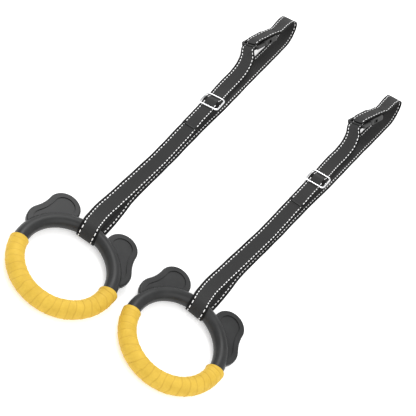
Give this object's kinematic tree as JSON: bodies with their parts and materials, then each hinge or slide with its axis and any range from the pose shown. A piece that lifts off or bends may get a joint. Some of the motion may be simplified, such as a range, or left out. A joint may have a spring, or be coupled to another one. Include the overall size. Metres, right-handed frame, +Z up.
{
  "type": "gymnastics rings",
  "caption": "Pair of moulded gymnastics rings with ear guards and taped grips, each on a webbing loop with a wire slider and a snap buckle.",
  "frame": {"origin": "centre of the pair's bounding box footprint, on the floor that it lies on", "axes": "+X from the left unit to the right one, +Y along the straps away from the rings, +Z up"},
  "size_m": [0.3686, 0.9236, 0.048],
  "materials": {
    "moulded_ring": "moulded charcoal plastic, satin",
    "grip_tape": "wound yellow grip tape, matt",
    "webbing": "woven charcoal webbing with white edge stitching",
    "thread": "black sewing thread",
    "edge_stitching": "white stitches along the webbing's edges",
    "plated_wire": "bright nickel plating",
    "buckle": "black acetal, fine grain"
  },
  "bodies": {
    "left_strap_body": {"left_strap_hanging_loop": "webbing", "left_strap_back_run": "webbing", "left_strap_ring_loop": "webbing", "left_strap_front_run": "webbing", "left_adjusting_strap": "webbing", "left_buckle_tacks": "thread", "left_buckle_socket": "buckle", "left_buckle_plug": "buckle"},
    "left_ring_body": {"left_ring_core": "moulded_ring", "left_grip_tape": "grip_tape", "left_left_ear": "moulded_ring", "left_right_ear": "moulded_ring"},
    "left_slider_body": {"left_slider_frame": "plated_wire", "left_slider_bar": "plated_wire", "left_slider_tack": "thread"},
    "left_left_prong_body": {"left_left_prong": "buckle"},
    "left_right_prong_body": {"left_right_prong": "buckle"},
    "right_strap_body": {"right_strap_hanging_loop": "webbing", "right_strap_back_run": "webbing", "right_strap_ring_loop": "webbing", "right_strap_front_run": "webbing", "right_adjusting_strap": "webbing", "right_buckle_tacks": "thread", "right_buckle_socket": "buckle", "right_buckle_plug": "buckle"},
    "right_ring_body": {"right_ring_core": "moulded_ring", "right_grip_tape": "grip_tape", "right_left_ear": "moulded_ring", "right_right_ear": "moulded_ring"},
    "right_slider_body": {"right_slider_frame": "plated_wire", "right_slider_bar": "plated_wire", "right_slider_tack": "thread"},
    "right_left_prong_body": {"right_left_prong": "buckle"},
    "right_right_prong_body": {"right_right_prong": "buckle"}
  },
  "joints": [
    {"name": "unit_spacing", "type": "slide", "parent": "left_strap_body", "child": "right_strap_body", "axis": [1, 0, 0], "range_m": [0, 0.312]},
    {"name": "left_ring_tilt", "type": "hinge", "parent": "left_strap_body", "child": "left_ring_body", "pos_m": [-0.10091, -0.3024, 0.014], "axis": [0.9911, 0.1331, 0], "range_deg": [-90, 60]},
    {"name": "left_slider_slide", "type": "slide", "parent": "left_strap_body", "child": "left_slider_body", "axis": [-0.0462, 0.9989, 0], "range_m": [-0.04, 0.03], "deforming": ["left_strap_front_run", "left_adjusting_strap"]},
    {"name": "left_left_prong_flex", "type": "hinge", "parent": "left_strap_body", "child": "left_left_prong_body", "pos_m": [-0.14985, 0.30045, 0.02125], "axis": [0.5888, -0.0243, -0.8079], "range_deg": [0, 14], "stiffness_Nm_per_rad": 0.05},
    {"name": "left_right_prong_flex", "type": "hinge", "parent": "left_strap_body", "child": "left_right_prong_body", "pos_m": [-0.12815, 0.29452, 0.03724], "axis": [-0.5888, 0.0243, 0.8079], "range_deg": [0, 14], "stiffness_Nm_per_rad": 0.05},
    {"name": "right_ring_tilt", "type": "hinge", "parent": "right_strap_body", "child": "right_ring_body", "pos_m": [0.09337, -0.27522, 0.014], "axis": [0.9992, 0.041, 0], "range_deg": [-90, 60]},
    {"name": "right_slider_slide", "type": "slide", "parent": "right_strap_body", "child": "right_slider_body", "axis": [0.0462, 0.9989, 0], "range_m": [-0.04, 0.03], "deforming": ["right_strap_front_run", "right_adjusting_strap"]},
    {"name": "right_left_prong_flex", "type": "hinge", "parent": "right_strap_body", "child": "right_left_prong_body", "pos_m": [0.10032, 0.32958, 0.02125], "axis": [0.584, -0.0786, -0.8079], "range_deg": [0, 14], "stiffness_Nm_per_rad": 0.05},
    {"name": "right_right_prong_flex", "type": "hinge", "parent": "right_strap_body", "child": "right_right_prong_body", "pos_m": [0.12138, 0.32167, 0.03724], "axis": [-0.584, 0.0786, 0.8079], "range_deg": [0, 14], "stiffness_Nm_per_rad": 0.05}
  ],
  "couplings": [
    {"joint": "left_right_prong_flex", "follows": "left_left_prong_flex", "ratio": 1},
    {"joint": "right_right_prong_flex", "follows": "right_left_prong_flex", "ratio": 1}
  ]
}
